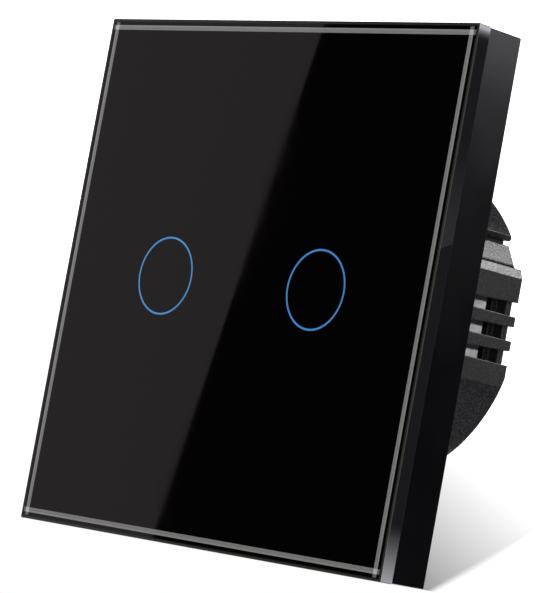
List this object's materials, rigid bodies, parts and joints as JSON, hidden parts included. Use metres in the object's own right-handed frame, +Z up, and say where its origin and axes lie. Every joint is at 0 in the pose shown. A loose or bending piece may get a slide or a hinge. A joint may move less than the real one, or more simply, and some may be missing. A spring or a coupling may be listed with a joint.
{
  "type": "touch light switch",
  "caption": "Square black glass touch switch panel with silver border lines and lit touch rings, clipped over a round flush-mounted module with screw terminals.",
  "frame": {"origin": "centre of the panel on the wall plane, which is the rear face of the mounting plate and the middle of both pairs of box screw slots", "axes": "+Y into the wall, square to the panel; +Z up; +X to the right as seen from the room; the glass faces -Y"},
  "size_m": [0.086, 0.0391, 0.086],
  "materials": {
    "black_glass": "glossy back-printed glass, ground arris",
    "silver_line": "satin silver inlay",
    "lit_ring": "frosted ring, lit blue from behind",
    "black_print": "matt ceramic print",
    "frame_plastic": "satin black moulding",
    "housing_plastic": "spark-textured black moulding",
    "zinc_steel": "zinc-plated pressed steel",
    "steel_screw": "zinc-plated, machined",
    "brass": "plain drawn brass",
    "board": "green solder mask over glass laminate",
    "black_part": "fine moulded black",
    "clear_guide": "clear moulded light guide",
    "sensor_pad": "conductive foam",
    "led_body": "white chip lamp",
    "relay_case": "moulded relay case",
    "capacitor_film": "moulded film capacitor case",
    "capacitor_can": "sleeved can",
    "fuse_glass": "glass tube with metal caps",
    "coil_wire": "taped winding on a ferrite core"
  },
  "bodies": {
    "module": {"mounting_plate": "zinc_steel", "front_carrier": "housing_plastic", "carrier_screws": "steel_screw", "touch_board": "board", "light_shield": "black_part", "touch_chip": "black_part", "pin_header": "brass", "header_socket": "black_part", "rear_housing": "housing_plastic", "housing_screws": "steel_screw", "power_board": "board", "switching_coil": "coil_wire", "mains_capacitor": "capacitor_film", "storage_capacitor": "capacitor_can", "fuse": "fuse_glass", "terminal_block": "black_part", "light_guide_left": "clear_guide", "light_guide_right": "clear_guide", "touch_pad_left": "sensor_pad", "touch_pad_right": "sensor_pad", "ring_leds_left": "led_body", "ring_leds_right": "led_body", "relay_left": "relay_case", "relay_right": "relay_case", "contact_bar_1": "brass", "contact_bar_2": "brass", "contact_bar_3": "brass"},
    "panel": {"glass_panel": "black_glass", "border_strips": "silver_line", "back_print": "black_print", "panel_frame": "frame_plastic", "touch_ring_left": "lit_ring", "touch_ring_right": "lit_ring"},
    "clamp_1": {"clamp_cage_1": "brass"},
    "screw_1": {"terminal_screw_1": "steel_screw"},
    "clamp_2": {"clamp_cage_2": "brass"},
    "screw_2": {"terminal_screw_2": "steel_screw"},
    "clamp_3": {"clamp_cage_3": "brass"},
    "screw_3": {"terminal_screw_3": "steel_screw"}
  },
  "joints": [
    {"name": "panel_pull", "type": "slide", "parent": "module", "child": "panel", "axis": [0, -1, 0], "range_m": [0, 0.02]},
    {"name": "screw_turn_1", "type": "hinge", "parent": "module", "child": "screw_1", "pos_m": [-0.0085, 0.02, -0.014], "axis": [0, -1, 0], "range_deg": [0, 1560]},
    {"name": "clamp_rise_1", "type": "slide", "parent": "module", "child": "clamp_1", "axis": [0, 1, 0], "range_m": [0, 0.0026]},
    {"name": "screw_turn_2", "type": "hinge", "parent": "module", "child": "screw_2", "pos_m": [0, 0.02, -0.014], "axis": [0, -1, 0], "range_deg": [0, 1560]},
    {"name": "clamp_rise_2", "type": "slide", "parent": "module", "child": "clamp_2", "axis": [0, 1, 0], "range_m": [0, 0.0026]},
    {"name": "screw_turn_3", "type": "hinge", "parent": "module", "child": "screw_3", "pos_m": [0.0085, 0.02, -0.014], "axis": [0, -1, 0], "range_deg": [0, 1560]},
    {"name": "clamp_rise_3", "type": "slide", "parent": "module", "child": "clamp_3", "axis": [0, 1, 0], "range_m": [0, 0.0026]}
  ],
  "couplings": [
    {"joint": "screw_turn_1", "follows": "clamp_rise_1", "rad_per_m": 10472},
    {"joint": "screw_turn_2", "follows": "clamp_rise_2", "rad_per_m": 10472},
    {"joint": "screw_turn_3", "follows": "clamp_rise_3", "rad_per_m": 10472}
  ]
}
